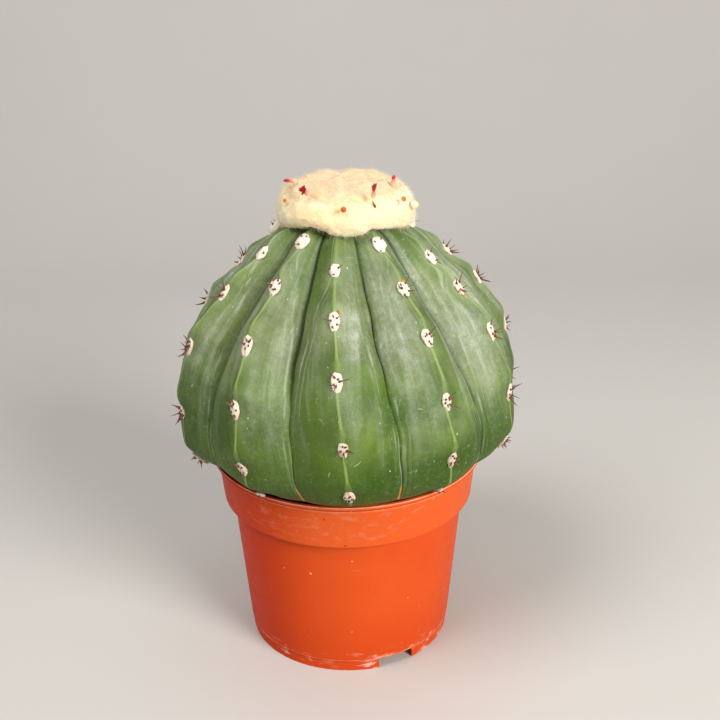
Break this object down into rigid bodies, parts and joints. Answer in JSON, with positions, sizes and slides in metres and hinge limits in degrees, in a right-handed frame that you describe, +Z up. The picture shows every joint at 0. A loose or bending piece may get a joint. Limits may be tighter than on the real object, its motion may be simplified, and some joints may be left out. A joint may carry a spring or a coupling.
{
  "type": "potted turks cap cactus",
  "caption": "Ribbed ball cactus with spine tufts and a woolly cap bearing tiny flowers, growing in a round plastic nursery pot with a collar and a notched foot.",
  "frame": {"origin": "middle of the pot's foot, on the surface that the pot stands on", "axes": "+Z up through the plant, -Y out of the front rib, +X to its right"},
  "size_m": [0.1546, 0.1582, 0.2168],
  "materials": {
    "pot_plastic": "satin orange-red injection-moulded plastic, with dust and lime marks",
    "potting_soil": "dark brown peat and bark, matt and crumbly",
    "stem_skin": "waxy grey-green skin with a pale bloom, darker in the furrows",
    "cap_wool": "dense cream wool, matt and fuzzy",
    "flower_red": "soft crimson petals",
    "bud_orange": "smooth orange-red skin",
    "areole_wool": "cream felt with brown tips",
    "spine": "reddish-brown horny spines with dark tips"
  },
  "bodies": {
    "root": {"nursery_pot": "pot_plastic", "potting_soil": "potting_soil", "cactus_stem": "stem_skin", "cephalium": "cap_wool", "flower_front_right": "flower_red", "flower_back_right": "flower_red", "flower_front_left": "flower_red", "flower_back_left": "flower_red", "bud_left": "bud_orange", "bud_front": "bud_orange", "bud_right": "bud_orange", "fruit_right": "bud_orange"}
  },
  "joints": []
}
